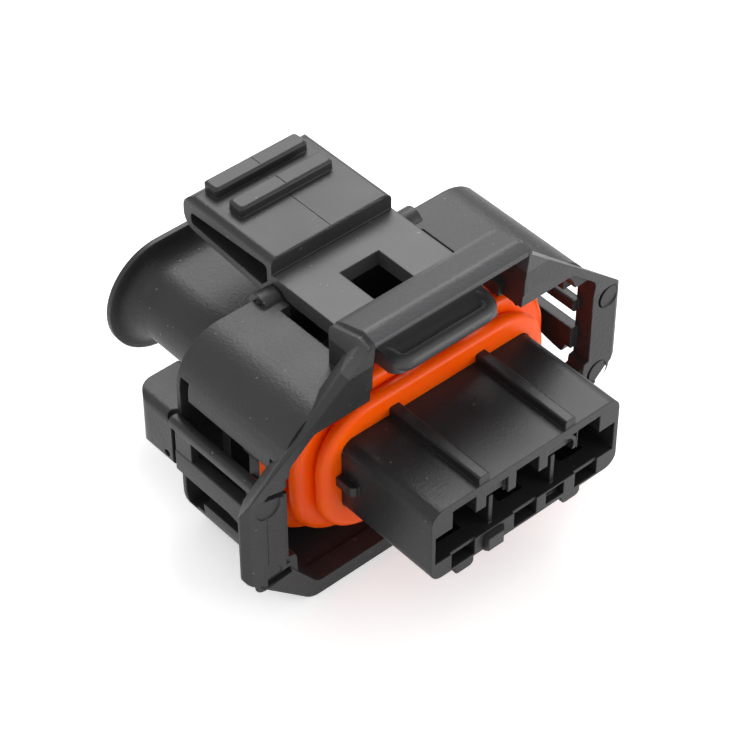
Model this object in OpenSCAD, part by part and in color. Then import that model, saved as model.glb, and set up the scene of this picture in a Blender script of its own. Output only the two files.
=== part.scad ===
// Sealed three-way plug connector: latching housing, contact carrier, radial seal,
// secondary lock, contacts and wire seals. X points out of the mating face, Z is up.
// The origin is the middle of the mating face, at the level of the contacts.

/* [Contact carrier] */
// Distance between neighbouring contacts
pitch = 5; // [4.6:0.1:5.4]
// Wall left outside the outermost chamber, measured from the last contact's centre
end_margin = 2.55; // [2.4:0.05:2.8]
// Height of the nose above the contact plane
nose_up = 3.1; // [3.0:0.05:3.3]
// Height of the nose below the contact plane
nose_down = 2.5; // [2.4:0.05:2.7]
// Corner radius of the nose
nose_r = 0.9; // [0.6:0.1:1.2]
// Length of the nose ahead of the radial seal
nose_len = 7.8; // [7.2:0.1:8.6]
// Half height of the mating slot
slot_half = 1.12; // [1.0:0.02:1.2]
// Width of the two keying ribs on top of the nose
key_w = 0.8; // [0.6:0.1:1.0]
// Distance from the middle to the inner face of a keying rib
key_in = 3.05; // [2.8:0.05:3.3]
// Height of the keying ribs above the nose
key_h = 0.65; // [0.4:0.05:0.9]
// Width of a locking window in the front of the nose
window_w = 1.85; // [1.5:0.05:2.1]

/* [Radial seal] */
// Half width of the front sealing lip
lip_y = 9.05; // [8.9:0.05:9.2]
// Half height of the front sealing lip
lip_z = 4.85; // [4.7:0.05:4.95]
// How far the second lip stands out beyond the front lip
lip_step = 1.1; // [0.9:0.05:1.2]
// Depth of the groove between the lips
groove_d = 0.9; // [0.6:0.05:1.1]

/* [Housing] */
// Half width of the shoulders
shell_y = 12.25; // [12.1:0.1:12.6]
// Height of the shoulders above the contact plane
shell_top = 7.25; // [7.1:0.05:7.4]
// Depth of the belly below the contact plane
belly = 7.95; // [7.8:0.05:8.4]
// Wall thickness of the shoulders and belly
wall = 1.0; // [0.9:0.05:1.1]
// Outer corner radius of the shoulders
shell_r = 3.3; // [2.8:0.05:3.6]
// Half width of the gap between the shoulders
gap_y = 5.65; // [5.5:0.05:5.8]
// Lower edge of the shoulders' side walls
shell_skirt = 3.5; // [3.3:0.05:3.7]
// Upper edge of the belly's side walls, below the contact plane
belly_lip = 3.4; // [3.2:0.05:3.6]
// Length from the mating face back to the ring's front face
ring_x = 7.5; // [7.2:0.1:7.8]
// Thickness of the guard ring
ring_t = 1.4; // [1.2:0.05:1.5]
// Half width of the guard ring
ring_y = 15.3; // [15.0:0.1:15.8]
// Width of the guard ring's right post
post_w = 2.55; // [2.4:0.05:2.8]
// How much wider the left post is
post_more = 0.85; // [0:0.05:1]
// Length of the shoulders behind the ring
shell_len = 8.4; // [8.2:0.1:8.9]
// Thickness of the crossbar over the latch
bar_t = 0.85; // [0.7:0.05:0.95]

/* [Side cage] */
// Half width over the cage bars
cage_y = 13.05; // [12.9:0.05:13.4]
// Width of the cage bars
bar_w = 0.85; // [0.75:0.05:0.95]
// Height of the lower cage bar
low_bar_h = 1.65; // [1.4:0.05:1.9]

/* [Cable outlet] */
// Half distance between the centres of the outlet's round ends
outlet_c = 5.05; // [4.9:0.05:5.2]
// Outer radius of the outlet's round ends
outlet_r = 2.75; // [2.7:0.05:2.8]
// Wall of the outlet
outlet_wall = 0.6; // [0.5:0.05:0.65]
// Radius of the flared collar's round ends
collar_r = 4.2; // [4.0:0.1:4.4]
// Length of the outlet behind the housing, with its collar
outlet_len = 11.2; // [10.6:0.1:11.8]

/* [Latch lever] */
// Half width of the lever
lever_y = 4.75; // [4.6:0.05:4.8]
// Thickness of the lever's arm
arm_t = 1.15; // [1.0:0.05:1.2]
// Top of the arm above the contact plane
arm_top = 8.25; // [8.2:0.05:8.3]
// Top of the handle above the contact plane
grip_top = 9.45; // [9.4:0.05:9.6]
// Length of the handle behind its front wall
grip_len = 8.45; // [8.2:0.05:8.7]
// Radius of the hinge pins
pin_r = 0.45; // [0.4:0.05:0.5]
// Radial clearance of the hinge pins in their ears
pin_gap = 0.05; // [0.03:0.01:0.08]
// Half width of the locking window in the arm
latch_window_y = 1.55; // [1.4:0.05:1.7]

/* [Contacts and wire seals] */
// Width of a contact's box
contact_w = 2.9; // [2.7:0.1:3.0]
// Height of a contact's box
contact_h = 1.7; // [1.5:0.1:1.8]
// Sheet thickness of a contact
sheet = 0.25; // [0.2:0.05:0.3]
// Radius of a wire seal's ribs
wire_seal_r = 1.85; // [1.75:0.05:1.95]
// Radius of the hole through a wire seal
wire_hole_r = 0.75; // [0.65:0.05:0.8]

/* [Hidden] */

$fn = 48;
ways = 3;
eps = 0.02;
// Clearance between pieces that are pushed together and stay put
fit = 0.05;

// Contact carrier, from the front backwards
nose_half = (ways - 1) / 2 * pitch + end_margin;
slot_width = 2 * nose_half - 0.65;
neck_y = nose_half + 0.1;
neck_z = lip_z - 1.55;
seal_len = 3.7;
flange_y = shell_y - wall - 0.3;
flange_up = shell_top - wall - 0.25;
flange_t = 1.3;
back_lip = flange_y + 0.19 - lip_y;
seal_x = nose_len;
flange_x = seal_x + seal_len;
tail_y = (ways - 1) / 2 * pitch + wire_seal_r + 1.1;
tail_z = wire_seal_r + 0.85;

// Secondary lock: width of its nib, how far its tip stands out, and its travel inwards
lock_w = 1.5;
lock_y = -pitch / 2 - 0.05;
lock_tip = 0.4;
lock_nib = 0.9;
lock_len = 5;
lock_travel = 1.2;

// Housing
ring_back = ring_x + ring_t;
shell_rear = ring_back + shell_len;
tail_x = shell_rear - wall - fit;
slant_in = gap_y + 0.35;
slant_top = 10.8;
slant_low = 2.65;
bar_top = 11.15;
post_in = ring_y - post_w;
post_in_left = post_in - post_more;

// Hinge of the latch lever
hinge_x = shell_rear - 0.4;
hinge_z = arm_top - 1.4;
ear_r = pin_r + 0.45;
ear_in = lever_y + 0.15;
ear_out = gap_y + 0.55;

// Points of a polygon with its corners rounded: each entry is [x, y, radius]
function corner(p, q, s, r, n) =
    let (a = (p - q) / norm(p - q), b = (s - q) / norm(s - q),
         half = acos(a * b) / 2, reach = r / tan(half),
         c = q + (a + b) / norm(a + b) * r / sin(half),
         u = q + a * reach - c, v = q + b * reach - c,
         turn = u[0] * v[1] - u[1] * v[0] > 0 ? 1 : -1)
    r == 0 ? [q] : [for (i = [0:n])
        let (w = turn * (180 - 2 * half) * i / n)
        c + [u[0] * cos(w) - u[1] * sin(w), u[0] * sin(w) + u[1] * cos(w)]];

function rounded(pts, n = 6) = [for (i = [0:len(pts) - 1])
    let (k = len(pts), p = pts[(i + k - 1) % k], q = pts[i], s = pts[(i + 1) % k])
    each corner([p[0], p[1]], [q[0], q[1]], [s[0], s[1]], q[2], n)];

// Extrudes a drawing in the Y-Z plane between two distances behind the mating face
module back(from, to) {
    translate([-to, 0, 0]) rotate([90, 0, 90]) linear_extrude(to - from) children();
}

// Extrudes a drawing in the X-Z plane across the width, from y0 to y1
module across(y0, y1) {
    translate([0, y1, 0]) rotate([90, 0, 0]) linear_extrude(y1 - y0) children();
}

module both_sides() {
    children();
    mirror([0, 1, 0]) children();
}

// Upright rounded rectangle from -half to half and from low to high
module rounded_rect(half, low, high, r) {
    polygon(rounded([[-half, low, r], [half, low, r], [half, high, r], [-half, high, r]]));
}

// Slot with round ends
module stadium(c, r) {
    for (s = [-1, 1]) translate([s * c, 0]) circle(r);
    square([2 * c, 2 * r], center = true);
}

// ---------------------------------------------------------------- housing

// Outline of the guard ring, seen from the front
module ring_outline(grow) {
    g = grow;
    polygon(rounded([
        [-slant_in, slant_top + g, 0], [-ring_y - g, slant_low + 0.4 * g, 1.0],
        [-ring_y - g, -3.2, 1.2], [-10.3, -belly, 1.6],
        [10.3, -belly, 1.6], [ring_y + g, -3.2, 1.2],
        [ring_y + g, slant_low + 0.4 * g, 1.0], [slant_in, slant_top + g, 0]]));
}

// Opening of the guard ring, a little narrower at the left post
module ring_opening() {
    polygon(rounded([
        [-10.2, 6.15, 0.7], [-post_in_left, 4.4, 0.9], [-post_in_left, -4.1, 0.8],
        [-9.8, -belly + 1.1, 0.8], [9.8, -belly + 1.1, 0.8], [post_in - 0.6, -4.3, 0.8],
        [post_in - 0.4, -2.75, 0], [post_in, -2.65, 0], [post_in, 4.1, 0.9], [10.4, 6.25, 0.7]]));
}

// Shoulders and belly in section, outside or inside
module shell_section(inset) {
    i = inset;
    polygon(rounded([
        [-shell_y + i, -belly + i, shell_r - i], [shell_y - i, -belly + i, shell_r - i],
        [shell_y - i, shell_top - i, shell_r - i], [-shell_y + i, shell_top - i, shell_r - i]], 10));
}

// Guard ring with its slanted arms
module guard_ring() {
    lean = 0.9;
    difference() {
        back(ring_x - lean, ring_back) ring_outline(0);
        back(ring_x - 2, ring_back + 1) {
            ring_opening();
            translate([-slant_in, 0]) square([2 * slant_in, 12]);
        }
        // front face upright up to the slanted arms, then leaning forward to the crossbar
        across(-20, 20) polygon([[-ring_x, -10], [-ring_x, slant_low], [-ring_x + lean, slant_top],
                                 [2, slant_top], [2, -10]]);
        both_sides() slant_bevel();
        // recessed rim along the opening's edge in the left post
        back(ring_x - 1, ring_x + 0.15) translate([-post_in_left - 0.3, -3.6]) square([1, 7.2]);
    }
    // ejector marks stand proud on the posts
    both_sides() for (z = [2.0, -3.9]) translate([-ring_x - eps, ring_y - 1.5, z])
        rotate([0, 90, 0]) cylinder(r = 0.8, h = 0.1);
    // hooks on the inner edge of the posts
    for (h = [[post_in - 0.45, 1], [-post_in_left, -1]])
        back(ring_x + 0.15, ring_back) translate([h[0], 0]) scale([h[1], 1]) polygon(rounded([
            [-0.7, -5.3, 0.2], [0.25, -5.3, 0], [0.25, -3.2, 0], [-0.6, -3.4, 0.3]]));
}

// Wedge that bevels the slanted edge of the ring, falling away to the back
module slant_bevel() {
    run = [ring_y - slant_in, slant_low - slant_top];
    translate([0, slant_in, slant_top]) rotate([atan2(run[1], run[0]), 0, 0])
        across(-3, norm(run) + 0.6) polygon([[-ring_back - 1, 3], [-ring_x + 0.7, 3], [-ring_x + 0.35, 0.05],
            [-ring_x, 0.0], [-ring_x - 0.25, -0.15], [-ring_back - 0.1, -1.3], [-ring_back - 1, -1.5]]);
}

// Crossbar over the latch with its two legs
module crossbar() {
    rear = ring_back + 1.3;
    nose = ring_x - 0.85;
    across(-slant_in, slant_in) polygon(rounded([
        [-rear + 0.1, bar_top - 1.5, 0.1], [-rear + 0.1, bar_top - 0.8, 0.4], [-rear + 0.7, bar_top - 0.5, 0.4],
        [-ring_x - 0.1, bar_top + 0.1, 0.8], [-nose, bar_top - 0.25, 0.25],
        [-nose, bar_top - 0.6, 0.15], [-ring_x - 0.3, bar_top - bar_t, 0.5],
        [-rear + 0.9, bar_top - 0.55 - bar_t, 0.3]], 5));
    // legs down to the shoulders, each joined to the ring's slanted arm
    both_sides() across(slant_in - eps, slant_in + 0.42) polygon(rounded([
        [-rear, shell_top - 0.4, 0], [-rear, bar_top - 0.9, 0.6],
        [-ring_x - 0.1, bar_top - 0.2, 0.4], [-nose - 0.15, bar_top - 0.45, 0.1],
        [-nose - 0.25, 7.3, 0.2], [-ring_x, 6.1, 0], [-ring_back, shell_top - 0.4, 0]], 4));
}

// Shoulders, belly and rear wall
module shells() {
    inner = shell_y - wall;
    difference() {
        union() {
            back(ring_back - 0.2, shell_rear) shell_section(0);
            // the shoulders' round corners run on into the slanted arms of the ring
            back(ring_x + 0.15, ring_back) intersection() {
                shell_section(0);
                both_sides_2d() translate([slant_in + 0.3, 4.4]) square([8, 4]);
            }
        }
        // hollow inside, closed by the rear wall
        back(ring_x - 1, shell_rear - wall) shell_section(wall);
        // channel of the latch, between the shoulders
        back(ring_back - 1, shell_rear + 1) translate([-gap_y, shell_top - wall - 0.5])
            square([2 * gap_y, 4]);
        // long side windows between shoulders and belly, stepped at the rear
        both_sides() {
            back(ring_back - 1, shell_rear - 0.3) translate([inner - 2, -belly_lip])
                square([4, shell_skirt + belly_lip]);
            back(shell_rear - 1.1, shell_rear - 0.3) translate([inner - 2, 0]) square([4, 4.85]);
            back(shell_rear - 2.0, shell_rear - 0.3) translate([inner - 0.6, -5.4]) square([4, 3]);
        }
        // way through the rear wall into the cable outlet
        back(shell_rear - wall - 1, shell_rear + 1) stadium(outlet_c, outlet_r - outlet_wall);
    }
}

module both_sides_2d() {
    children();
    mirror([1, 0]) children();
}

// Ears that hold the hinge pins of the latch lever
module hinge_ears() {
    both_sides() across(ear_in, ear_out) {
        translate([-hinge_x, hinge_z]) circle(ear_r);
        polygon([[-hinge_x - ear_r * 0.6, shell_top - wall], [-hinge_x + ear_r + 0.5, shell_top - wall],
                 [-hinge_x + ear_r + 0.5, shell_top], [-hinge_x + ear_r * 0.8, hinge_z + 0.4],
                 [-hinge_x - ear_r * 0.6, hinge_z]]);
    }
}

// Bearings of the hinge pins, through the ears and into the shoulders
module hinge_bearings() {
    both_sides() translate([-hinge_x, ear_in - 1, hinge_z]) rotate([-90, 0, 0])
        cylinder(r = pin_r + pin_gap, h = ear_out - ear_in + 1 + fit);
}

// Cage beside the shell: rear box, two bars, and the web that joins them at the rear
module side_cage() {
    box_front = shell_rear - 0.25;
    box_back = box_front + 3.65;
    box_in = 9.4;
    box_r = 1.4;
    low = -2.05;
    both_sides() {
        difference() {
            back(box_front, box_back) polygon(rounded([
                [box_in, low, 0.3], [cage_y, low, 0.5], [cage_y, 2.0, 0.6], [box_in, 2.0, 0.3]]));
            // rounded outer rear corner
            translate([0, 0, low - 1]) linear_extrude(6) difference() {
                translate([-box_back - 1, cage_y - box_r]) square([1 + box_r, 1 + box_r]);
                translate([-box_back + box_r, cage_y - box_r]) circle(box_r);
            }
            // half-round notch above the root of the upper bar
            translate([-box_front, cage_y - 0.4, 1.95]) sphere(0.55);
            // dimple low at the front
            translate([-box_front - 0.55, cage_y, low + 0.75]) rotate([90, 0, 0])
                cylinder(r = 0.25, h = 0.8, center = true);
        }
        // upper bar with a rounded back
        bar_along(cage_y - bar_w, cage_y, 1.0, 1.9, 0.3, ring_back - 0.2, box_front + 0.2);
        // lower bar, ending short of the box, with a round lug under its front
        bar_along(cage_y - bar_w, cage_y, low, low + low_bar_h, 0.1, ring_back - 0.2, box_front - 0.3);
        across(cage_y - bar_w, cage_y - 0.15) polygon(rounded([
            [-ring_back - 4, low + 0.2, 0], [-ring_back - 4, low, 0], [-ring_back - 1.3, low - 0.6, 0.2],
            [-ring_back - 0.5, low - 0.7, 0.2], [-ring_back - 0.2, low + 0.2, 0]]));
        // web that joins the bars
        bar_along(cage_y - 0.6, cage_y - 0.05, low + 1.2, 1.2, 0.05, box_front - 1.8, box_front - 0.3);
    }
}

// Bar along X with a rounded section
module bar_along(y0, y1, z0, z1, r, from, to) {
    back(from, to) polygon(rounded([[y0, z0, r], [y1, z0, r], [y1, z1, r], [y0, z1, r]], 4));
}

// Section of the outlet wall: straight tube that curls out into the collar, as [x, radius]
curl = 1.5;
function outlet_wall_pts() = let (
        end = shell_rear + outlet_len, r = outlet_r, root = end - 0.45 - curl)
    concat([[shell_rear - wall, r - outlet_wall], [shell_rear - wall, r], [root, r]],
           [for (a = [15:15:75]) [root + curl * sin(a), r + (collar_r - r - 0.15) * (1 - cos(a))]],
           [[end - 0.45, collar_r - 0.15], [end - 0.35, collar_r], [end, collar_r],
            [end, collar_r - 0.35]],
           [for (a = [75:-15:0]) [root + 0.4 + (curl + 0.05) * sin(a),
                r - outlet_wall + (collar_r - r + outlet_wall - 0.35) * (1 - cos(a))]]);

module outlet() {
    // round ends
    both_sides() translate([0, outlet_c, 0]) intersection() {
        rotate([0, -90, 0]) rotate_extrude($fn = 72)
            polygon([for (p = outlet_wall_pts()) [p[1], p[0]]]);
        translate([-60, 0, -10]) cube([60, 10, 20]);
    }
    // flat top and bottom
    for (s = [0, 1]) mirror([0, 0, s]) across(-outlet_c, outlet_c)
        polygon([for (p = outlet_wall_pts()) [-p[0], p[1]]]);
}

module housing() {
    color([0.09, 0.09, 0.1]) difference() {
        union() {
            guard_ring();
            crossbar();
            shells();
            hinge_ears();
            side_cage();
            outlet();
        }
        hinge_bearings();
    }
}

// ---------------------------------------------------------------- latch lever

module latch_lever() {
    wall_x = shell_rear + 0.05;
    grip_x = wall_x + grip_len;
    rise = hinge_z;
    color([0.1, 0.1, 0.11]) difference() {
        union() {
            // hollow grip, seen from the side
            across(-lever_y, lever_y) difference() {
                polygon(rounded([
                    [-wall_x, grip_top, 0.15], [-grip_x + 0.05, grip_top, 1.0], [-grip_x, 7.0, 1.1],
                    [-wall_x - 1.4, 6.4, 0.3], [-hinge_x + 0.6, 6.3, 0.5], [-wall_x + 0.9, arm_top - arm_t, 0.2],
                    [-wall_x + 0.9, arm_top, 0], [-wall_x, arm_top, 0]]));
                polygon(rounded([
                    [-wall_x - 0.45, 8.7, 0.3], [-grip_x + 0.75, 8.3, 0.3], [-grip_x + 0.75, 7.45, 0.3],
                    [-wall_x - 0.95, 6.95, 0.1], [-wall_x - 0.45, 7.5, 0.1]], 4));
            }
            // arm with its rounded front lip
            across(-lever_y, lever_y) polygon([
                [-wall_x - 0.1, arm_top], [-ring_x - 1.6, arm_top], [-ring_x - 1.6, arm_top - arm_t],
                [-wall_x - 0.1, arm_top - arm_t]]);
            intersection() {
                lip_plan();
                across(-lever_y, lever_y) polygon(rounded([
                    [-ring_x - 1.7, arm_top, 0], [-ring_x - 0.1, arm_top, 0.1],
                    [-ring_x + 0.25, arm_top + 0.15, 0.15], [-ring_x + 1.15, arm_top + 0.05, 0.4],
                    [-ring_x + 1.2, arm_top - 0.75, 0.4], [-ring_x + 0.1, arm_top - arm_t, 0.3],
                    [-ring_x - 1.7, arm_top - arm_t, 0]], 5));
            }
            // two rounded finger ribs
            for (x = [grip_x - 1.3, grip_x - 3.7]) finger_rib(x);
            // hinge pins
            both_sides() translate([-hinge_x, lever_y - 0.6, hinge_z]) rotate([-90, 0, 0])
                cylinder(r = pin_r, h = ear_out - lever_y + 0.5);
        }
        // locking window
        translate([-ring_x - 7.4, -latch_window_y, arm_top - arm_t - 1])
            cube([4.3, 2 * latch_window_y, arm_t + 2]);
        // rounded long edges of the grip
        both_sides() translate([-grip_x - 1, lever_y, grip_top]) rotate([0, 90, 0])
            linear_extrude(grip_len + 2) difference() {
                translate([-0.5, -0.5]) square(1);
                translate([0.5, -0.5]) circle(0.5);
            }
    }
}

// Plan of the arm's front lip, with round corners
module lip_plan() {
    linear_extrude(12) polygon(rounded([
        [-ring_x - 1.7, -lever_y + 0.45, 0], [-ring_x + 1.2, -lever_y + 0.45, 1.1],
        [-ring_x + 1.2, lever_y - 0.75, 1.3], [-ring_x - 1.7, lever_y - 0.75, 0]], 10));
}

module finger_rib(x) {
    translate([-x, 0, grip_top - 0.4]) hull() {
        linear_extrude(0.95) rib_plan(0);
        linear_extrude(1.1) rib_plan(0.15);
    }
}

module rib_plan(i) {
    polygon(rounded([[-0.65 + i, -3.65 + i, 0.25], [0.65 - i, -3.65 + i, 0.25],
                     [0.65 - i, 3.65 - i, 0.25], [-0.65 + i, 3.65 - i, 0.25]], 4));
}

// ---------------------------------------------------------------- contact carrier

function way_y(i) = (i - (ways - 1) / 2) * pitch;

module nose_section() {
    rounded_rect(nose_half, -nose_down, nose_up, nose_r);
}

module contact_carrier() {
    front_depth = 2.4;
    color([0.1, 0.1, 0.11]) difference() {
        union() {
            back(0, seal_x + 0.35) nose_section();
            // keying ribs
            both_sides() bar_along(key_in, key_in + key_w, nose_up - 0.3, nose_up + key_h, 0.15,
                                    0.05, seal_x + 0.3);
            // neck under the seal, and the flange behind it
            back(seal_x + 0.35, flange_x) rounded_rect(neck_y, -neck_z, neck_z, 2.4);
            back(flange_x, flange_x + flange_t) carrier_flange();
            // tail that holds the wire seals
            back(flange_x, tail_x) rounded_rect(tail_y, -tail_z, tail_z, 1.6);
            // side tabs that hold the seal
            both_sides() side_tab();
            // lobes under the front edge
            for (y = [-4.85, 3.85]) back(0.05, 1.6) translate([y, -nose_down]) polygon(rounded([
                [-0.75, -0.7, 0.35], [0.75, -0.7, 0.35], [0.75, 0.4, 0], [-0.75, 0.4, 0]]));
        }
        // one wide mating slot
        back(-1, front_depth) square([slot_width, 2 * slot_half], center = true);
        for (i = [0:ways - 1]) translate([0, way_y(i), 0]) {
            // locking windows above and below each contact
            back(-1, front_depth + 1) translate([-window_w / 2, 0])
                square([window_w, slot_half + 1.35]);
            back(-1, front_depth + 1) translate([-window_w / 2, -slot_half - 1.25])
                square([window_w, 1.8]);
            // chamber
            back(front_depth - eps, flange_x + 0.6)
                square([contact_w + 2 * fit + 0.5, contact_h + 2 * fit + 0.7], center = true);
            // bore of the wire seal
            translate([-tail_x - 1, 0, 0]) rotate([0, 90, 0])
                cylinder(r = wire_seal_r + fit, h = tail_x + 1 - flange_x - 0.4);
        }
        // shallow stepped notches beside the windows
        for (y = [[-3.3, -1.55], [1.64, 4.0]]) {
            back(-1, 0.3) translate([y[0], slot_half - 0.1]) square([y[1] - y[0], 1.4]);
            back(-1, 1.2) translate([y[0] + 0.1, slot_half - 0.1]) square([y[1] - y[0] - 0.2, 0.5]);
        }
        // small framed window, and the way out for the secondary lock
        back(-1, 0.5) translate([1.68, -slot_half - 1.1]) square([1.5, 1]);
        back(-1, lock_len + lock_travel + fit) lock_stem(fit);
        back(lock_nib - fit, lock_len + lock_travel + fit) lock_flange(fit);
    }
    color([0.1, 0.1, 0.11]) {
        // dividers of the mating slot
        for (s = [-1, 1]) translate([-front_depth - eps, s * pitch / 2 - 0.15, -slot_half - eps])
            cube([front_depth - 0.4, 0.3, 2 * slot_half + 2 * eps]);
        // shelf across the lower windows
        back(0.15, 1.25) translate([-slot_width / 2 - eps, -slot_half - 0.25])
            square([slot_width + 2 * eps, 0.25]);
        // curled clip in the right notch
        back(0.02, 0.9) translate([3.1, slot_half + 0.45]) clip_section();
    }
}

// Tab with a round nose, standing out from the side of the nose
module side_tab() {
    translate([0, 0, 0.05]) linear_extrude(0.7) polygon(rounded([
        [-seal_x - 0.5, nose_half - 0.3, 0], [-seal_x + 1.5, nose_half - 0.3, 0],
        [-seal_x + 1.5, nose_half + 0.5, 0.4], [-seal_x - 0.5, nose_half + 0.5, 0]]));
}

// Quarter ring
module clip_section() {
    difference() {
        circle(0.95);
        circle(0.7);
        translate([-2, -2]) square([2, 4]);
        translate([-2, -2]) square([4, 1.6]);
    }
}

module carrier_flange() {
    difference() {
        rounded_rect(flange_y, -flange_up, flange_up, 3);
        for (s = [-1, 1]) translate([s * (flange_y + 0.1), 0]) square([1, 2.4], center = true);
    }
}

module lobe() {
    translate([0, 0, -0.75]) linear_extrude(1.0) difference() {
        translate([-1.2, -0.75]) square([1.9, 1.5]);
    }
}

// ---------------------------------------------------------------- radial seal

// One turn of the seal in section: rounded rectangle with the given growth
module seal_turn(from, to, grow) {
    back(from, to)
        rounded_rect(lip_y + grow, -lip_z - 0.55 * grow, lip_z + 0.55 * grow, 3.8 + 0.4 * grow);
}

module radial_seal() {
    color([1, 0.35, 0.06]) difference() {
        union() {
            hull() {
                seal_turn(seal_x, seal_x + 0.25, -0.45);
                seal_turn(seal_x + 0.35, seal_x + 0.75, 0);
                seal_turn(seal_x + 0.9, seal_x + 1.05, -0.45);
            }
            seal_turn(seal_x + 0.8, seal_x + seal_len - fit, -groove_d);
            hull() {
                seal_turn(seal_x + 1.25, seal_x + 1.35, lip_step - 0.5);
                seal_turn(seal_x + 1.5, seal_x + 1.9, lip_step);
                seal_turn(seal_x + 2.05, seal_x + 2.2, lip_step - 0.5);
            }
            hull() {
                seal_turn(seal_x + 2.75, seal_x + 2.85, back_lip - 0.3);
                seal_turn(seal_x + 3.05, seal_x + seal_len - fit, back_lip);
            }
        }
        // hole for the nose and the neck
        back(seal_x - 1, seal_x + 0.35 + fit) offset_nose();
        back(seal_x + 0.35 - fit, seal_x + seal_len + 1)
            rounded_rect(neck_y + fit, -neck_z - fit, neck_z + fit, 2.4 + fit);
        // notches round the side tabs
        both_sides() back(seal_x - 1, seal_x + 0.5 + fit) translate([nose_half + 0.35, 0.35]) circle(0.75);
        // notches over the keying ribs
        both_sides() back(seal_x - 1, seal_x + 0.3 + fit)
            translate([key_in - fit, nose_up - 0.3]) square([key_w + 2 * fit, key_h + 0.3 + fit]);
    }
}

module offset_nose() {
    rounded_rect(nose_half + fit, -nose_down - fit, nose_up + fit, nose_r + fit);
}

// ---------------------------------------------------------------- secondary lock

// Section of the lock's stem and of the wider flange that guides it, grown by a clearance
module lock_stem(c) {
    translate([lock_y, -slot_half]) polygon([
        [-lock_w / 2 - c, -1.5 - c], [lock_w / 2 + c, -1.5 - c],
        [lock_w / 2 + c, -0.3 + c], [-lock_w / 2 - c, -0.3 + c]]);
}

module lock_flange(c) {
    translate([lock_y, -slot_half]) polygon([
        [-lock_w / 2 - 0.35 - c, -0.8 - c], [lock_w / 2 + 0.35 + c, -0.8 - c],
        [lock_w / 2 + 0.35 + c, -0.3 + c], [-lock_w / 2 - 0.35 - c, -0.3 + c]]);
}

module secondary_lock() {
    color([0.11, 0.11, 0.12]) {
        difference() {
            back(-lock_tip, lock_len) lock_stem(0);
            // chamfers of the nib's tip
            across(-10, 10) polygon([[lock_tip + 0.1, -slot_half - 1.2], [lock_tip + 0.1, -5],
                                     [lock_tip - 0.5, -5], [lock_tip - 0.35, -slot_half - 1.51]]);
            translate([lock_tip, lock_y + lock_w / 2, -5]) linear_extrude(6)
                polygon([[-0.4, 0.1], [0.1, -0.4], [0.1, 0.1]]);
        }
        back(lock_nib, lock_len) lock_flange(0);
    }
}

// ---------------------------------------------------------------- contacts and wire seals

contact_front = 3.2;
contact_back = flange_x - 0.4;

module contact(i) {
    color([0.78, 0.76, 0.7]) translate([0, way_y(i), 0]) {
        // folded box that takes the blade
        back(contact_front, contact_back - 1.2) difference() {
            square([contact_w, contact_h], center = true);
            square([contact_w - 2 * sheet, contact_h - 2 * sheet], center = true);
        }
        // floor that carries on as the crimp barrel
        back(contact_back - 1.4, contact_back + 0.9) difference() {
            circle(wire_hole_r - fit);
            circle(wire_hole_r - fit - sheet);
            translate([-2, 0.15]) square([4, 3]);
        }
        translate([-contact_back + 1.2, -contact_w / 2, -contact_h / 2])
            rotate([0, -90, 0]) linear_extrude(0.3) square([sheet, contact_w]);
    }
}

module contact_spring(i) {
    color([0.72, 0.72, 0.72]) translate([0, way_y(i), 0])
        back(contact_front + 1, contact_back - 2.4) difference() {
            square([contact_w + 0.4 + fit, contact_h + 0.5 + fit], center = true);
            square([contact_w + fit, contact_h + fit], center = true);
        }
}

module wire_seal(i) {
    color([0.95, 0.75, 0.25]) translate([-tail_x + 0.3, way_y(i), 0]) rotate([0, 90, 0])
        rotate_extrude() difference() {
            union() {
                square([wire_seal_r - 0.3, tail_x - flange_x - 1.1]);
                for (k = [0:2]) translate([wire_seal_r - 0.4, 0.5 + k * 1.3]) circle(0.4, $fn = 24);
            }
            translate([-1, -1]) square([1 + wire_hole_r, 10]);
        }
}

housing();
latch_lever();
contact_carrier();
radial_seal();
secondary_lock();
contact(0);  // contact_1
contact(1);  // contact_2
contact(2);  // contact_3
contact_spring(0);  // contact_spring_1
contact_spring(1);  // contact_spring_2
contact_spring(2);  // contact_spring_3
wire_seal(0);  // wire_seal_1
wire_seal(1);  // wire_seal_2
wire_seal(2);  // wire_seal_3
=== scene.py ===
import math
import random

import bmesh
import bpy
from mathutils import Matrix, Vector


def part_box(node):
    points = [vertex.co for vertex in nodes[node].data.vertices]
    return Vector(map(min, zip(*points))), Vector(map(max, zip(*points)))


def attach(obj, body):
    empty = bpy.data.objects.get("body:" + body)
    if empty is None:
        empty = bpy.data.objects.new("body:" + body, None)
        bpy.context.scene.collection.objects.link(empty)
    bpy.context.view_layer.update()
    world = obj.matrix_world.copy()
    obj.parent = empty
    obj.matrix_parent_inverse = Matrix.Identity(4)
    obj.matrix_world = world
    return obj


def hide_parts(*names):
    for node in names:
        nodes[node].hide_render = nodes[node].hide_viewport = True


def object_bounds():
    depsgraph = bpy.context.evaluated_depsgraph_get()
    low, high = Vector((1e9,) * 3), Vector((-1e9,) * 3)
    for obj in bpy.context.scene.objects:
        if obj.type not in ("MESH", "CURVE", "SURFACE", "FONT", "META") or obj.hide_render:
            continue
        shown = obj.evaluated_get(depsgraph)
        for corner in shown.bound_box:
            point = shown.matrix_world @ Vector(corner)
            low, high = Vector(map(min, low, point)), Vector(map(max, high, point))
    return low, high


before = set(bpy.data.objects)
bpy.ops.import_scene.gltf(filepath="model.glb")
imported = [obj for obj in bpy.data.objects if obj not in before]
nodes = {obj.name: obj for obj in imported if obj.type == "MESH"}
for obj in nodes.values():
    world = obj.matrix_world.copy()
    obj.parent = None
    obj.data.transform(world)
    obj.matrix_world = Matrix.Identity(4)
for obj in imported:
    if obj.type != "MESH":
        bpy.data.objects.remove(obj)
cad_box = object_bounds()
mm = 0.001

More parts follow.
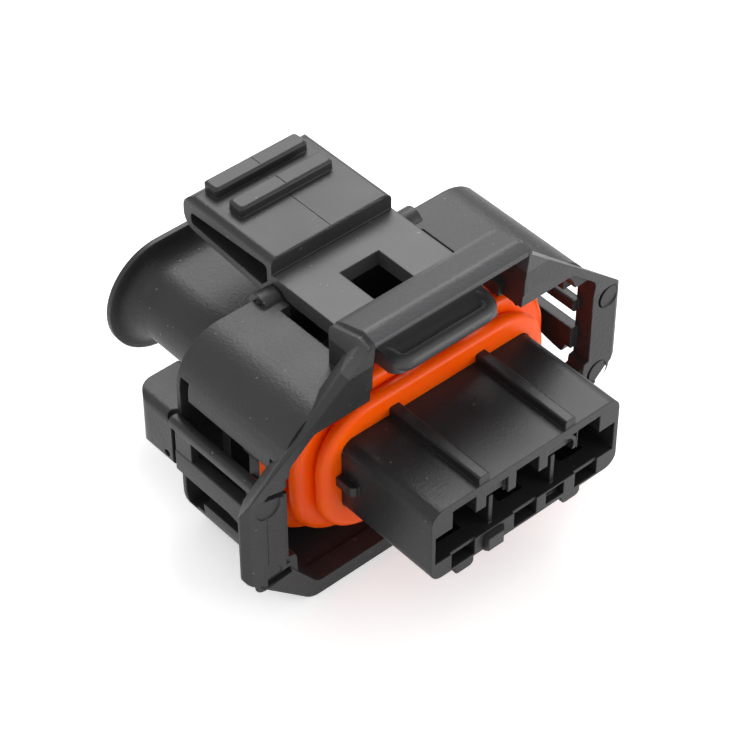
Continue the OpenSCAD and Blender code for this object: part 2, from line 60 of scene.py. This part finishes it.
# ---- Studio -------------------------------------------------------------------------
# White paper with the plug standing on it, seen from in front, its -Y side and well above.
# One large soft box behind the plug gives flat tops their sheen; a weak one beside it and
# a low one in front light its sides and upright faces.
sight = Matrix(((0.6605, -0.5172, 0.5442), (0.7508, 0.4550, -0.4788), (0.0, 0.7248, 0.6889)))
camera_data = bpy.data.cameras.new("camera")
camera_data.sensor_width = 36
camera_data.lens = 128.4
camera_data.clip_start = 0.005
camera_data.clip_end = 5
camera = bpy.data.objects.new("camera", camera_data)
camera.matrix_world = Matrix.Translation((0.0761, -0.0788, 0.1133)) @ sight.to_4x4()
bpy.context.collection.objects.link(camera)
bpy.context.scene.camera = camera
bpy.context.scene.view_settings.view_transform = "Standard"


class Value:
    """A shader socket that takes part in ordinary arithmetic."""

    def __init__(self, tree, socket):
        self.tree = tree
        self.socket = socket

    def maths(self, operation, *values):
        node = self.tree.nodes.new("ShaderNodeMath")
        node.operation = operation
        for socket, value in zip(node.inputs, values):
            if isinstance(value, Value):
                self.tree.links.new(value.socket, socket)
            else:
                socket.default_value = value
        return Value(self.tree, node.outputs[0])

    def __add__(self, other):
        return self.maths("ADD", self, other)

    def __radd__(self, other):
        return self.maths("ADD", other, self)

    def __mul__(self, other):
        return self.maths("MULTIPLY", self, other)

    def __rmul__(self, other):
        return self.maths("MULTIPLY", other, self)

    def __gt__(self, other):
        return self.maths("GREATER_THAN", self, other)


class Finish:
    """A material with one shader, and a maker of the nodes that feed it."""

    def __init__(self, name, **shader):
        self.material = bpy.data.materials.new(name)
        self.material.use_nodes = True
        self.tree = self.material.node_tree
        self.shader = self.tree.nodes["Principled BSDF"]
        self.feed(self.shader, shader)

    def feed(self, node, values):
        for name, value in values.items():
            socket = node.inputs[name if isinstance(name, int) else name.replace("_", " ")]
            if isinstance(value, Value):
                self.tree.links.new(value.socket, socket)
            else:
                socket.default_value = value

    def node(self, kind, settings=None, out=0, **values):
        node = self.tree.nodes.new("ShaderNode" + kind)
        for name, value in (settings or {}).items():
            setattr(node, name, value)
        self.feed(node, values)
        return Value(self.tree, node.outputs[out])

    def wear(self, *pieces):
        for piece in pieces:
            piece.data.materials.clear()
            piece.data.materials.append(self.material)


floor_mesh = bpy.data.meshes.new("floor")
sweep = bmesh.new()
bmesh.ops.create_grid(sweep, x_segments=8, y_segments=8, size=1.5)
bmesh.ops.translate(sweep, verts=sweep.verts, vec=(0, 0, cad_box[0][2]))
sweep.to_mesh(floor_mesh)
sweep.free()
floor = bpy.data.objects.new("floor", floor_mesh)
bpy.context.collection.objects.link(floor)
paper_glow = 0.4
paper = Finish("white paper", Base_Color=(0.9, 0.9, 0.9, 1), Roughness=0.85)
seen = paper.node("LightPath", out="Is Camera Ray") + paper.node("LightPath", out="Is Glossy Ray") * 0.6
glow = paper.node("Emission", Color=(1, 1, 1, 1), Strength=seen * paper_glow)
both = paper.node("AddShader")
paper.tree.links.new(paper.shader.outputs[0], both.socket.node.inputs[0])
paper.tree.links.new(glow.socket, both.socket.node.inputs[1])
paper.tree.links.new(both.socket, paper.tree.nodes["Material Output"].inputs[0])
paper.wear(floor)

air_light = 0.85
world = bpy.data.worlds.new("studio")
world.use_nodes = True
bpy.context.scene.world = world
air = world.node_tree
path = air.nodes.new("ShaderNodeLightPath")
shown = air.nodes.new("ShaderNodeMath")
shown.operation = "MULTIPLY_ADD"
air.links.new(path.outputs["Is Camera Ray"], shown.inputs[0])
shown.inputs[1].default_value = 1 - air_light
shown.inputs[2].default_value = air_light
air.nodes["Background"].inputs["Color"].default_value = (1, 1, 1, 1)
air.links.new(shown.outputs[0], air.nodes["Background"].inputs["Strength"])


middle = Vector((-0.012, 0, 0))


def soft_box(name, place, size, power):
    lamp = bpy.data.lights.new(name, "AREA")
    lamp.shape = "RECTANGLE"
    lamp.size = size
    lamp.size_y = size
    lamp.energy = power
    box = bpy.data.objects.new(name, lamp)
    box.location = place
    box.rotation_euler = (Vector(place) - middle).to_track_quat("Z", "Y").to_euler()
    bpy.context.collection.objects.link(box)


soft_box("soft box behind", (-0.30, 0.26, 0.42), 0.3, 2.1)
soft_box("soft box left", (-0.10, -0.42, 0.30), 0.3, 0.2)
soft_box("soft box front right", (0.38, 0.28, 0.09), 0.25, 1.05)


# ---- Housing ----------------------------------------------------------------------------
# One moulding of glass-filled nylon: shoulders, belly, guard ring with its crossbar, side
# cages and the oval cable outlet. Its tools are spark-eroded, which leaves a fine crinkled
# grain, uneven in gloss; the posts are bevelled behind and carry sunk ejector marks.
def moulded(name, colour, rough, grain, depth, edge=0.12, painted_sheen_at=None):
    """Black nylon: grain across a metre, its depth and the edges' roundness in millimetres."""
    finish = Finish(name, Specular_IOR_Level=0.36)
    place = finish.node("TexCoord", out="Object")
    crinkle = finish.node("TexNoise", Vector=place, Scale=grain, Detail=3.0, Roughness=0.6)
    cloud = finish.node("TexNoise", Vector=place, Scale=260.0, Detail=3.0, Roughness=0.55)
    speck = finish.node("TexNoise", Vector=place, Scale=2600.0, Detail=1.0)
    dust = speck > 0.775
    shade = finish.node("Mix", {"data_type": "RGBA"}, out=2, Factor=cloud,
                        A=(*[c * 0.75 for c in colour], 1), B=(*[c * 1.25 for c in colour], 1))
    # painted sheen: where the mask is 1 the colour is lightened 2.3 times, standing for light caught on
    # those parts
    if painted_sheen_at:
        shade = finish.node("Mix", {"data_type": "RGBA"}, out=2, Factor=painted_sheen_at(finish, place), A=shade,
                            B=(*[c * 2.3 for c in colour], 1))
    shade = finish.node("Mix", {"data_type": "RGBA"}, out=2, Factor=dust * 0.3, A=shade,
                        B=(0.3, 0.3, 0.3, 1))
    finish.feed(finish.shader, {"Base_Color": shade, "Roughness": rough - 0.06 + cloud * 0.12})
    soft = finish.node("Bevel", {"samples": 6}, Radius=edge * mm)
    bump = finish.node("Bump", Strength=1.0, Distance=depth * mm, Height=crinkle, Normal=soft)
    finish.feed(finish.shader, {"Normal": bump})
    return finish


def painted_sheen_on_bar(finish, place):
    """1 on the crossbar and the upper ends of the slanted arms, where a lighter colour is painted as their
    sheen.
    """
    ahead = finish.node("SeparateXYZ", out="X", Vector=place) > -10.4 * mm
    high = finish.node("SeparateXYZ", out="Z", Vector=place) > 9.2 * mm
    return ahead * high


def prism(outline, axis, start, end):
    """A solid with a flat outline, from start to end along an axis, in millimetres."""
    place = {"X": lambda u, v, at: (at, u, v), "Y": lambda u, v, at: (u, at, v),
             "Z": lambda u, v, at: (u, v, at)}[axis]
    solid = bmesh.new()
    ends = [[solid.verts.new([c * mm for c in place(u, v, at)]) for u, v in outline]
            for at in (start, end)]
    for ring in ends:
        solid.faces.new(ring)
    for k in range(len(outline)):
        j = (k + 1) % len(outline)
        solid.faces.new((ends[0][k], ends[0][j], ends[1][j], ends[1][k]))
    bmesh.ops.recalc_face_normals(solid, faces=solid.faces)
    return solid


def piece_of(name, solid):
    mesh = bpy.data.meshes.new(name)
    solid.to_mesh(mesh)
    solid.free()
    piece = bpy.data.objects.new(name, mesh)
    bpy.context.collection.objects.link(piece)
    return piece


def smooth(mesh, degrees):
    mesh.shade_smooth()
    mesh.set_sharp_from_angle(angle=math.radians(degrees))


def cut_copy(name, node, cutters, degrees=26):
    """The node's solid with each cutter taken out of it."""
    piece = bpy.data.objects.new(name, nodes[node].data.copy())
    bpy.context.collection.objects.link(piece)
    if "custom_normal" in piece.data.attributes:
        piece.data.attributes.remove(piece.data.attributes["custom_normal"])
    tools = [piece_of("cutter", solid) for solid in cutters]
    for tool in tools:
        cut = piece.modifiers.new("cut", "BOOLEAN")
        cut.operation, cut.solver, cut.object = "DIFFERENCE", "EXACT", tool
    bpy.context.view_layer.update()
    shaped = bpy.data.meshes.new_from_object(piece.evaluated_get(bpy.context.evaluated_depsgraph_get()))
    piece.modifiers.clear()
    piece.data = shaped
    for tool in tools:
        bpy.data.objects.remove(tool)
    smooth(piece.data, degrees)
    return piece


def arc(centre, radius, start, end, steps=14):
    turn = [math.radians(start + (end - start) * k / steps) for k in range(steps + 1)]
    return [(centre[0] + radius * math.cos(a), centre[1] + radius * math.sin(a)) for a in turn]


def crescent(y, z, radius, slip=(0.3, -0.25)):
    """What a disc leaves when its copy is slid aside."""
    apart = math.hypot(*slip)
    aim = math.degrees(math.atan2(slip[1], slip[0]))
    open_by = math.degrees(math.acos(apart / 2 / radius))
    outer = arc((y, z), radius, aim + open_by, aim + 360 - open_by)
    inner = arc((y + slip[0], z + slip[1]), radius, aim + 180 + open_by, aim + 180 - open_by)
    return outer + inner[1:-1]


def bead(name, points, radius, uneven, seed):
    """A round ridge along a path, such as the ragged skin where two tool halves meet."""
    chance = random.Random(seed)
    line = bpy.data.curves.new(name, "CURVE")
    line.dimensions = "3D"
    line.bevel_depth = radius * mm
    line.bevel_resolution = 1
    line.use_fill_caps = True
    stride = 0.35
    path = []
    for start, end in zip(points, points[1:]):
        steps = max(1, round(math.dist(start, end) / stride))
        path += [[a + (b - a) * k / steps for a, b in zip(start, end)] for k in range(steps)]
    path.append(list(points[-1]))
    spline = line.splines.new("POLY")
    spline.points.add(len(path) - 1)
    for point, place in zip(spline.points, path):
        point.co = (*[c * mm for c in place], 1)
        point.radius = 1 + uneven * chance.uniform(-1, 1)
    piece = bpy.data.objects.new(name, line)
    bpy.context.collection.objects.link(piece)
    return piece


def rectangle(u0, u1, v0, v1):
    return [(u0, v0), (u1, v0), (u1, v1), (u0, v1)]


housing_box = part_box("housing")
crossbar_lean = 0.9
ring_half = housing_box[1][1] / mm
ring_front = housing_box[1][0] / mm - crossbar_lean
ring_back = ring_front - 1.4
shell_rear = ring_back - 8.4
post_left = -ring_half + 3.4
post_right = ring_half - 2.55


def sunk(outline, depth):
    """A cutter that sinks an outline into the front of the posts."""
    return prism(outline, "X", ring_front - depth, ring_front + 0.3)


mark_r = 0.87
mark_depth = 0.08
gouge_depth = 0.45
# outline of a post's outer edge from above: rounded in front, drawn in towards the rear
post_edge = [(ring_back - 1, 3), (ring_front + 1, 3), (ring_front + 1, -0.6), (ring_front, -0.5),
             (ring_front - 0.12, -0.2), (ring_front - 0.3, 0), (ring_front - 0.45, 0),
             (ring_back - 0.1, -1.3), (ring_back - 1, -1.5)]
window_rear = shell_rear + 0.3
window_side = 12.6
cutters = []
for side in (-1, 1):
    cutters.append(prism([(x, side * (ring_half + out)) for x, out in post_edge], "Z", -8.2, 3.05))
    # front of the post planed flat, ready for its marks
    cutters.append(sunk(rectangle(side * 12.9, side * 14.75, -4.85, 2.9), 0.004))
    # side window carried further down the belly, with a step at its rear
    cutters.append(prism(rectangle(side * 9.3, side * window_side, -4.5, -3.3), "X", window_rear, ring_back))
    cutters.append(prism(rectangle(side * 10.45, side * window_side, -5.9, -4.4),
                         "X", window_rear, window_rear + 0.9))
for y, z in ((post_right + 1.35, 2.1), (post_right + 0.8, -4.0)):
    cutters.append(sunk(arc((y, z), mark_r, 0, 345, 23), mark_depth))
    cutters.append(sunk(crescent(y, z, mark_r), gouge_depth))
for z, slot_z, lean, thick in ((2.05, 2.6, -14, 0.5), (-3.8, -4.25, 4, 0.65)):
    cutters.append(sunk(arc((post_left - 1.5, z), mark_r, 0, 345, 23), mark_depth))
    turn = math.radians(lean)
    cutters.append(sunk([(post_left - 0.8 + u * math.cos(turn) - v * math.sin(turn),
                          slot_z + u * math.sin(turn) + v * math.cos(turn))
                         for u, v in rectangle(-mark_r, mark_r, -thick / 2, thick / 2)], gouge_depth))
# the crossbar and the upper ends of the slanted arms get a painted sheen, a colour lighter than the rest
housing_black = moulded("housing plastic", (0.021, 0.021, 0.022), 0.44, 4200.0, 0.03,
                        painted_sheen_at=painted_sheen_on_bar)
housing = cut_copy("housing_moulding", "housing", cutters)
housing_black.wear(housing)
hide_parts("housing")
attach(housing, "plug")

edge_x = ring_front - 0.05
edge_z = housing_box[1][2] / mm - 0.1
line_x = ring_front - 0.01
line_y = post_left - 1.6
flashes = [bead("crossbar_flash", [(edge_x, -5.8, edge_z), (edge_x, 5.8, edge_z)], 0.06, 0.7, 3),
           bead("post_flash", [(line_x, line_y, 1.1), (line_x, line_y, -2.9)], 0.035, 0.4, 5)]
for flash in flashes:
    housing_black.wear(flash)
    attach(flash, "plug")

# ---- Latch lever ------------------------------------------------------------------------
# A lever with a hollow ribbed handle, in the same nylon. Its front lip dips and ends in a
# round bead, and the tool's parting line runs down the middle of the handle.
def painted_sheen_on_arm(finish, place):
    """1 on the flat arm between the handle and the crossbar, where a lighter colour is painted as its sheen.
    """
    return finish.node("SeparateXYZ", Vector=place) > (shell_rear + 0.1) * mm


arm_top = 8.25
lip_front = ring_front + 1.2
# the flat arm gets a painted sheen, a colour lighter than the rest of the lever
lever_black = moulded("lever plastic", (0.022, 0.022, 0.023), 0.4, 5200.0, 0.014, painted_sheen_at=painted_sheen_on_arm)
dip = prism([(lip_front + x, arm_top + z) for x, z in ((-1.7, 0.01), (-1.7, 0.5), (0.4, 0.5),
                                                       (0.4, -1.1), (-0.3, -0.85), (-0.75, -0.3))],
            "Y", -6, 6)
lever = cut_copy("latch_lever_moulding", "latch_lever", [dip])
lever_black.wear(lever)
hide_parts("latch_lever")
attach(lever, "lever")

roll = 0.52
left_turn = arc((lip_front - 1.1, -3.2), 1.1 - roll, -90, 0, 5)
right_turn = arc((lip_front - 1.3, 2.7), 1.3 - roll, 0, 90, 5)
plan = [(lip_front - 2.4, -3.78), *left_turn, *right_turn, (lip_front - 2.4, 3.48)]
# the bead sinks into the arm where it runs out at the sides
lip = bead("lever_lip", [(x, y, arm_top - (0.43 if x > lip_front - 1.4 else 0.56)) for x, y in plan],
           roll, 0, 1)
lip.data.bevel_resolution = 6

grip_top = 9.45
grip_rear = shell_rear - 8.5
rib_profile = [(0.66, 0), (0.55, 0.64), (0.4, 0.71), (-0.4, 0.71), (-0.55, 0.64), (-0.66, 0)]
over_ribs = [(grip_rear + rib + x, 0, grip_top + z) for rib in (3.7, 1.3) for x, z in rib_profile]
seam = [(shell_rear - 0.2, 0, grip_top), *over_ribs, (grip_rear + 0.3, 0, grip_top - 0.2)]
flash = [(shell_rear - 0.1, y, grip_top - 0.03) for y in (-4.3, 4.3)]
seams = [bead("handle_seam", seam, 0.028, 0.4, 11), bead("handle_flash", flash, 0.05, 0.8, 12)]
for part in [lip, *seams]:
    lever_black.wear(part)
    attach(part, "lever")

# ---- Contact carrier --------------------------------------------------------------------
# The keyed nose, neck, flange and tail, one moulding of the same nylon with a smoother,
# darker skin. It is pushed into the housing from the front and holds the contacts.
carrier_black = moulded("carrier plastic", (0.014, 0.014, 0.015), 0.4, 4600.0, 0.016)
carrier_black.wear(nodes["contact_carrier"])

# ---- Secondary lock ---------------------------------------------------------------------
# A small sliding tongue of the same nylon, guided under the contacts. Its nib stands out
# of the nose's front until it is pushed home.
lock_black = moulded("lock plastic", (0.03, 0.03, 0.031), 0.42, 5200.0, 0.008)
lock_black.wear(nodes["secondary_lock"])

# ---- Radial seal ------------------------------------------------------------------------
# Oiled silicone rubber, even orange: three round lips moulded on one sleeve that is
# stretched over the carrier's neck. A little light passes into the lips.
silicone = Finish("orange silicone", Subsurface_Weight=0.5, Subsurface_Scale=0.001,
                  Specular_IOR_Level=0.22)
silicone.shader.inputs["Subsurface Radius"].default_value = (1.0, 0.15, 0.02)
skin = silicone.node("TexCoord", out="Object")
film = silicone.node("TexNoise", Vector=skin, Scale=420.0, Detail=2.0)
tint = silicone.node("Mix", {"data_type": "RGBA"}, out=2, Factor=film,
                     A=(1.0, 0.08, 0.0, 1), B=(1.0, 0.112, 0.0, 1))
pores = silicone.node("TexNoise", Vector=skin, Scale=3000.0, Detail=2.0)
silicone.feed(silicone.shader, {
    "Base_Color": tint, "Roughness": 0.3 + film * 0.12,
    "Normal": silicone.node("Bump", Strength=1.0, Distance=0.003 * mm, Height=pores)})

seal_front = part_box("radial_seal")[1][0] / mm
lip_half = 9.05
lip_high = 4.85
valley = -0.9
rear_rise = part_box("radial_seal")[1][1] / mm - lip_half


def loop(sleeve, depth, half, low, high, radius, steps=12):
    """A rounded rectangle of points round the sleeve, a given depth behind its front."""
    corners = ((half - radius, high - radius, 0), (radius - half, high - radius, 90),
               (radius - half, low + radius, 180), (half - radius, low + radius, 270))
    return [sleeve.verts.new([c * mm for c in (seal_front - depth, *point)])
            for y, z, start in corners for point in arc((y, z), radius, start, start + 90, steps)]


def swell(sleeve, depth, grow):
    """The sleeve's outside at a depth, grown beyond the first lip."""
    return loop(sleeve, depth, lip_half + grow, -lip_high - 0.55 * grow, lip_high + 0.55 * grow,
                3.8 + 0.4 * grow)


sleeve = bmesh.new()
rings = []
turns = 12
# each lip: where it starts, its width, how far it rises and how far its flanks fall
lips = ((0, 1.1, 0, 0.7), (1.2, 1.05, 1.1, 0.75), (2.6, 1.05, rear_rise, 0.6))
for start, wide, rise, fall in lips:
    if start > 0:
        rings.append(swell(sleeve, start - 0.06, valley))
    for k in range(turns + 1):
        turn = math.pi * k / turns
        along = wide * (1 - math.cos(turn)) / 2
        rings.append(swell(sleeve, start + along, rise - fall * (1 - math.sin(turn))))
    if start < lips[-1][0]:
        rings.append(swell(sleeve, start + wide + 0.06, valley))
# hole: round the neck from the rear, then round the end of the nose
neck = (7.7, -3.35, 3.35, 2.45)
nose = (7.6, -2.55, 3.15, 0.95)
for depth, hole in ((3.65, neck), (0.4, neck), (0.4, nose), (0, nose)):
    rings.append(loop(sleeve, depth, *hole))
for near, far in zip(rings, rings[1:] + rings[:1]):
    for k in range(len(near)):
        j = (k + 1) % len(near)
        sleeve.faces.new((near[k], near[j], far[j], far[k]))
bmesh.ops.recalc_face_normals(sleeve, faces=sleeve.faces)
seal = piece_of("seal_sleeve", sleeve)
smooth(seal.data, 55)
silicone.wear(seal)
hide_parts("radial_seal")
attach(seal, "plug")

# ---- Contacts ---------------------------------------------------------------------------
# Tin-plated bronze, folded into boxes deep in their chambers, each with a sleeve of
# spring steel round it. They are stamped and rolled, so their gloss is uneven.
tin = Finish("tin plating", Metallic=1.0)
rolled = tin.node("TexNoise", Vector=tin.node("TexCoord", out="Object"), Scale=900.0, Detail=3.0)
tin.feed(tin.shader, {
    "Base_Color": tin.node("Mix", {"data_type": "RGBA"}, out=2, Factor=rolled,
                           A=(0.62, 0.59, 0.53, 1), B=(0.78, 0.76, 0.7, 1)),
    "Roughness": 0.25 + rolled * 0.2})
tin.wear(nodes["contact_1"], nodes["contact_2"], nodes["contact_3"])

spring_steel = Finish("spring steel", Metallic=1.0)
brushed = spring_steel.node("TexNoise", Vector=spring_steel.node("TexCoord", out="Object"), Scale=1400.0)
spring_steel.feed(spring_steel.shader, {
    "Base_Color": spring_steel.node("Mix", {"data_type": "RGBA"}, out=2, Factor=brushed,
                                    A=(0.45, 0.45, 0.46, 1), B=(0.6, 0.6, 0.61, 1)),
    "Roughness": 0.3 + brushed * 0.15})
spring_steel.wear(nodes["contact_spring_1"], nodes["contact_spring_2"], nodes["contact_spring_3"])

# ---- Wire seals -------------------------------------------------------------------------
# Ribbed plugs of soft yellow silicone, one round each wire's place, pressed into the
# bores at the carrier's rear.
wire_silicone = Finish("yellow silicone")
milky = wire_silicone.node("TexNoise", Vector=wire_silicone.node("TexCoord", out="Object"), Scale=600.0)
wire_silicone.feed(wire_silicone.shader, {
    "Base_Color": wire_silicone.node("Mix", {"data_type": "RGBA"}, out=2, Factor=milky,
                                     A=(0.75, 0.42, 0.06, 1), B=(0.85, 0.52, 0.1, 1)),
    "Roughness": 0.35 + milky * 0.15})
wire_silicone.wear(nodes["wire_seal_1"], nodes["wire_seal_2"], nodes["wire_seal_3"])
